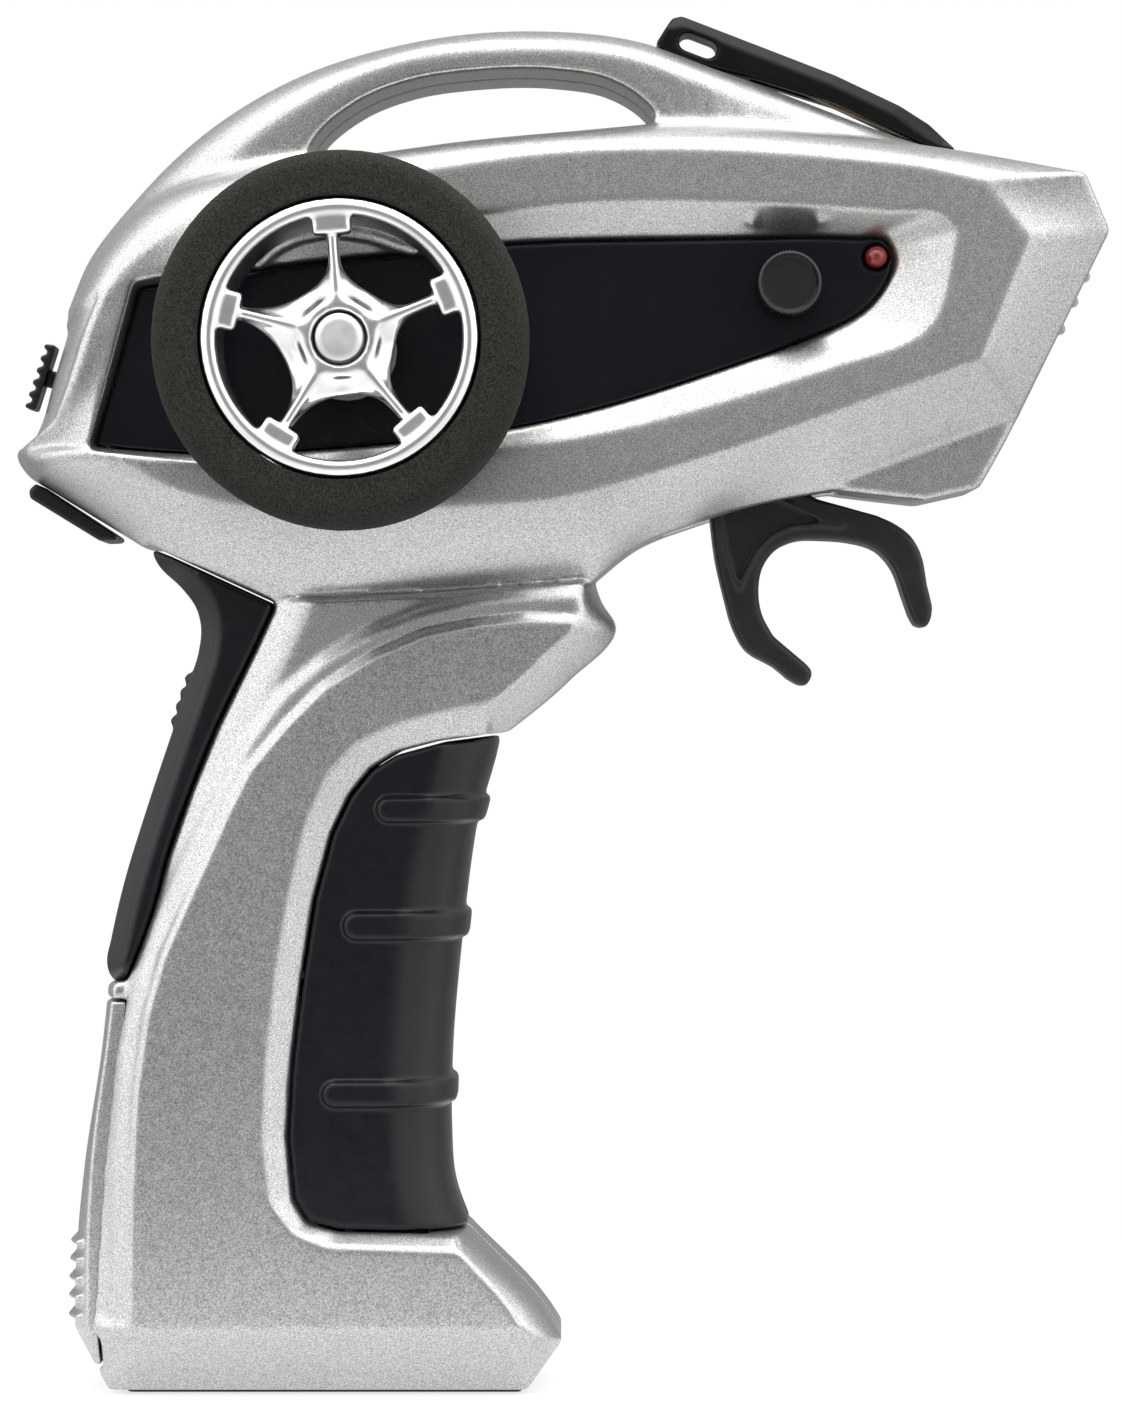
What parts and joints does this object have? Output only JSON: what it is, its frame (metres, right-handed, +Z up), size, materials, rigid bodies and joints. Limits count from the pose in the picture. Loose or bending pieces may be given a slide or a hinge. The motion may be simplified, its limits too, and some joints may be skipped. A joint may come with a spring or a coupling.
{
  "type": "pistol-grip radio transmitter controller",
  "caption": "Pistol-grip radio controller: silver casing with carrying hoop, foam steering wheel, throttle trigger, trim knob and battery grip.",
  "frame": {"origin": "on the base pad's underside, in the middle of the grip's foot", "axes": "+Z up, +X towards the nose, -Y towards the steering wheel"},
  "size_m": [0.1522, 0.0688, 0.1922],
  "materials": {
    "silver_paint": "fine metallic silver lacquer over moulded ABS",
    "black_plastic": "satin black moulding",
    "rubber": "smooth satin rubber",
    "foam": "open-cell foam rubber",
    "chrome_plate": "vacuum-plated mirror finish over plastic",
    "steel": "bright zinc",
    "brass": "plain",
    "grey_plastic": "satin",
    "red_lens": "tinted clear lens",
    "clear_lens": "clear lens",
    "circuit_board": "solder mask",
    "cell_wrap": "printed sleeve without lettering",
    "red_wire": "PVC sleeve"
  },
  "bodies": {
    "casing": {"antenna": "brass", "antenna_housing": "black_plastic", "antenna_lead": "black_plastic", "back_strap": "rubber", "base_pad": "rubber", "battery_holder": "grey_plastic", "battery_spring_1": "steel", "battery_spring_2": "steel", "battery_spring_3": "steel", "battery_spring_4": "steel", "battery_wire_black": "black_plastic", "battery_wire_red": "red_wire", "bracket_screw_1": "steel", "bracket_screw_2": "steel", "capacitor": "black_plastic", "casing_screw_1": "steel", "casing_screw_2": "steel", "casing_screw_3": "steel", "casing_screw_4": "steel", "casing_screw_5": "steel", "casing_screw_6": "steel", "cell_1": "cell_wrap", "cell_2": "cell_wrap", "cell_3": "cell_wrap", "cell_4": "cell_wrap", "charge_socket": "black_plastic", "control_chip": "black_plastic", "control_panel": "black_plastic", "crystal": "steel", "front_grip": "rubber", "left_panel": "black_plastic", "left_shell": "silver_paint", "main_board": "circuit_board", "nose_led_1": "clear_lens", "nose_led_2": "clear_lens", "nose_led_3": "clear_lens", "nose_led_board": "circuit_board", "power_led": "red_lens", "power_switch_body": "grey_plastic", "radio_module": "steel", "right_shell": "silver_paint", "steering_bracket": "steel", "steering_bush": "grey_plastic", "steering_pot": "grey_plastic", "steering_return_spring": "steel", "throttle_pot": "grey_plastic", "trigger_pivot_pin": "steel", "trigger_return_spring": "steel", "trim_pot": "grey_plastic"},
    "wheel": {"steering_tyre": "foam", "wheel_rim": "chrome_plate", "hub_cap": "grey_plastic", "wheel_screw": "steel", "steering_shaft": "steel", "steering_arm": "grey_plastic"},
    "trigger": {"trigger": "black_plastic"},
    "trim": {"trim_knob": "black_plastic"},
    "switch": {"power_switch_knob": "black_plastic"},
    "door": {"battery_door": "silver_paint"},
    "cover": {"port_cover": "black_plastic"}
  },
  "joints": [
    {"name": "steering_turn", "type": "hinge", "parent": "casing", "child": "wheel", "pos_m": [0.003, 0, 0.144], "axis": [0, -1, 0], "range_deg": [-35, 35], "stiffness_Nm_per_rad": 0.03, "deforming": ["steering_return_spring"]},
    {"name": "trigger_pull", "type": "hinge", "parent": "casing", "child": "trigger", "pos_m": [0.0603, 0, 0.1328], "axis": [0, 1, 0], "range_deg": [-6, 22], "stiffness_Nm_per_rad": 0.08, "deforming": ["trigger_return_spring"]},
    {"name": "trim_turn", "type": "hinge", "parent": "casing", "child": "trim", "pos_m": [0.0635, 0, 0.153], "axis": [0, -1, 0], "range_deg": [-135, 135]},
    {"name": "power_switch_slide", "type": "slide", "parent": "casing", "child": "switch", "axis": [0.3051, 0, 0.9523], "range_m": [0, 0.0033]},
    {"name": "battery_door_slide", "type": "slide", "parent": "casing", "child": "door", "axis": [-0.12, 0, -0.9928], "range_m": [0, 0.045]},
    {"name": "port_cover_hinge", "type": "hinge", "parent": "casing", "child": "cover", "pos_m": [-0.0413, 0, 0.1252], "axis": [0, 1, 0], "range_deg": [0, 100]}
  ]
}
